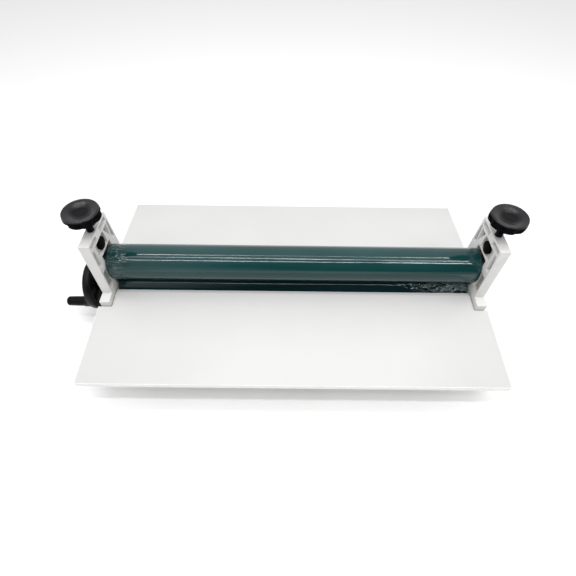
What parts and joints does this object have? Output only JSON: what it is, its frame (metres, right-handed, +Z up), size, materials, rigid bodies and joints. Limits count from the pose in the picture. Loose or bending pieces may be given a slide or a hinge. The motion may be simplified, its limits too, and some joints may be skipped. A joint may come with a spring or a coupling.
{
  "type": "cold roll laminator",
  "caption": "Bench-top hand-cranked cold roll laminator: rubber-covered rollers in cast side frames, pressure-screw knobs, crank wheel and sloping white boards.",
  "frame": {"origin": "under the middle of the whole machine, crank included, on the bench top; the roller lines are above Y = 0", "axes": "+X to the operator's right along the rollers, +Y away from the operator through the rollers, +Z up"},
  "size_m": [0.8038, 0.4294, 0.2475],
  "materials": {
    "frame_paint": "white powder coat over a sand-textured aluminium casting",
    "board_laminate": "white melamine facing on particle board, faintly textured",
    "edge_band_plastic": "white plastic edge band",
    "support_steel": "dark grey powder coat",
    "zinc_steel": "bright zinc plate",
    "bearing_steel": "ground bearing steel with dark seals",
    "spring_steel": "drawn spring wire",
    "black_steel": "black oxide, lightly oiled",
    "block_metal": "machined aluminium",
    "roller_steel": "turned steel",
    "roller_rubber": "dark teal-green ground rubber under a tight clear protective wrap, glossy",
    "crank_plastic": "satin black moulded plastic",
    "grip_plastic": "satin black moulded plastic",
    "knob_plastic": "satin black moulded plastic, slightly glossy",
    "foot_rubber": "matt black rubber"
  },
  "bodies": {
    "base": {"left_side_frame": "frame_paint", "right_side_frame": "frame_paint", "left_cover_plate": "frame_paint", "right_cover_plate": "frame_paint", "cover_plate_screws": "zinc_steel", "front_board": "board_laminate", "rear_board": "board_laminate", "front_board_edge_band": "edge_band_plastic", "rear_board_edge_band": "edge_band_plastic", "front_cross_bar": "support_steel", "rear_cross_bar": "support_steel", "front_board_arms": "support_steel", "rear_board_arms": "support_steel", "board_screws": "zinc_steel", "cross_bar_bolts": "zinc_steel", "front_tie_rod": "zinc_steel", "rear_tie_rod": "zinc_steel", "tie_rod_nuts": "zinc_steel", "left_barrel_nut": "black_steel", "right_barrel_nut": "black_steel", "left_lower_bearing": "bearing_steel", "right_lower_bearing": "bearing_steel", "rubber_feet": "foot_rubber", "foot_screws": "zinc_steel", "left_lift_springs": "spring_steel", "right_lift_springs": "spring_steel"},
    "drive_roller": {"lower_roller_tube": "roller_steel", "lower_roller_rubber": "roller_rubber", "lower_left_stub_shaft": "roller_steel", "lower_right_stub_shaft": "roller_steel", "crank_wheel": "crank_plastic", "crank_washer": "zinc_steel", "crank_end_bolt": "zinc_steel", "grip_spindle": "zinc_steel"},
    "grip": {"crank_grip": "grip_plastic"},
    "carriage": {"left_bearing_block": "block_metal", "right_bearing_block": "block_metal", "left_upper_bearing": "bearing_steel", "right_upper_bearing": "bearing_steel", "left_screw_retainer": "zinc_steel", "right_screw_retainer": "zinc_steel", "retainer_screws": "zinc_steel"},
    "pressure_roller": {"upper_roller_tube": "roller_steel", "upper_roller_rubber": "roller_rubber", "upper_left_stub_shaft": "roller_steel", "upper_right_stub_shaft": "roller_steel"},
    "left_screw": {"left_pressure_screw": "black_steel", "left_lock_nut": "black_steel", "left_knob": "knob_plastic"},
    "right_screw": {"right_pressure_screw": "black_steel", "right_lock_nut": "black_steel", "right_knob": "knob_plastic"}
  },
  "joints": [
    {"name": "crank_turn", "type": "hinge", "parent": "base", "child": "drive_roller", "pos_m": [0.03118, 0, 0.0583], "axis": [1, 0, 0], "continuous": true},
    {"name": "grip_turn", "type": "hinge", "parent": "drive_roller", "child": "grip", "pos_m": [-0.38482, -0.03939, 0.05135], "axis": [1, 0, 0], "continuous": true},
    {"name": "roller_lift", "type": "slide", "parent": "base", "child": "carriage", "axis": [0, 0, 1], "range_m": [0, 0.012], "deforming": ["left_lift_springs", "right_lift_springs"]},
    {"name": "pressure_roller_turn", "type": "hinge", "parent": "carriage", "child": "pressure_roller", "pos_m": [0.03118, 0, 0.1244], "axis": [1, 0, 0], "continuous": true},
    {"name": "left_knob_turn", "type": "hinge", "parent": "carriage", "child": "left_screw", "pos_m": [-0.30957, 0, 0.2], "axis": [0, 0, 1], "range_deg": [0, 2880]},
    {"name": "right_knob_turn", "type": "hinge", "parent": "carriage", "child": "right_screw", "pos_m": [0.37193, 0, 0.2], "axis": [0, 0, 1], "range_deg": [0, 2880]}
  ],
  "couplings": [
    {"joint": "pressure_roller_turn", "follows": "crank_turn", "ratio": -1},
    {"joint": "left_knob_turn", "follows": "roller_lift", "rad_per_m": 4188.8},
    {"joint": "right_knob_turn", "follows": "roller_lift", "rad_per_m": 4188.8}
  ]
}
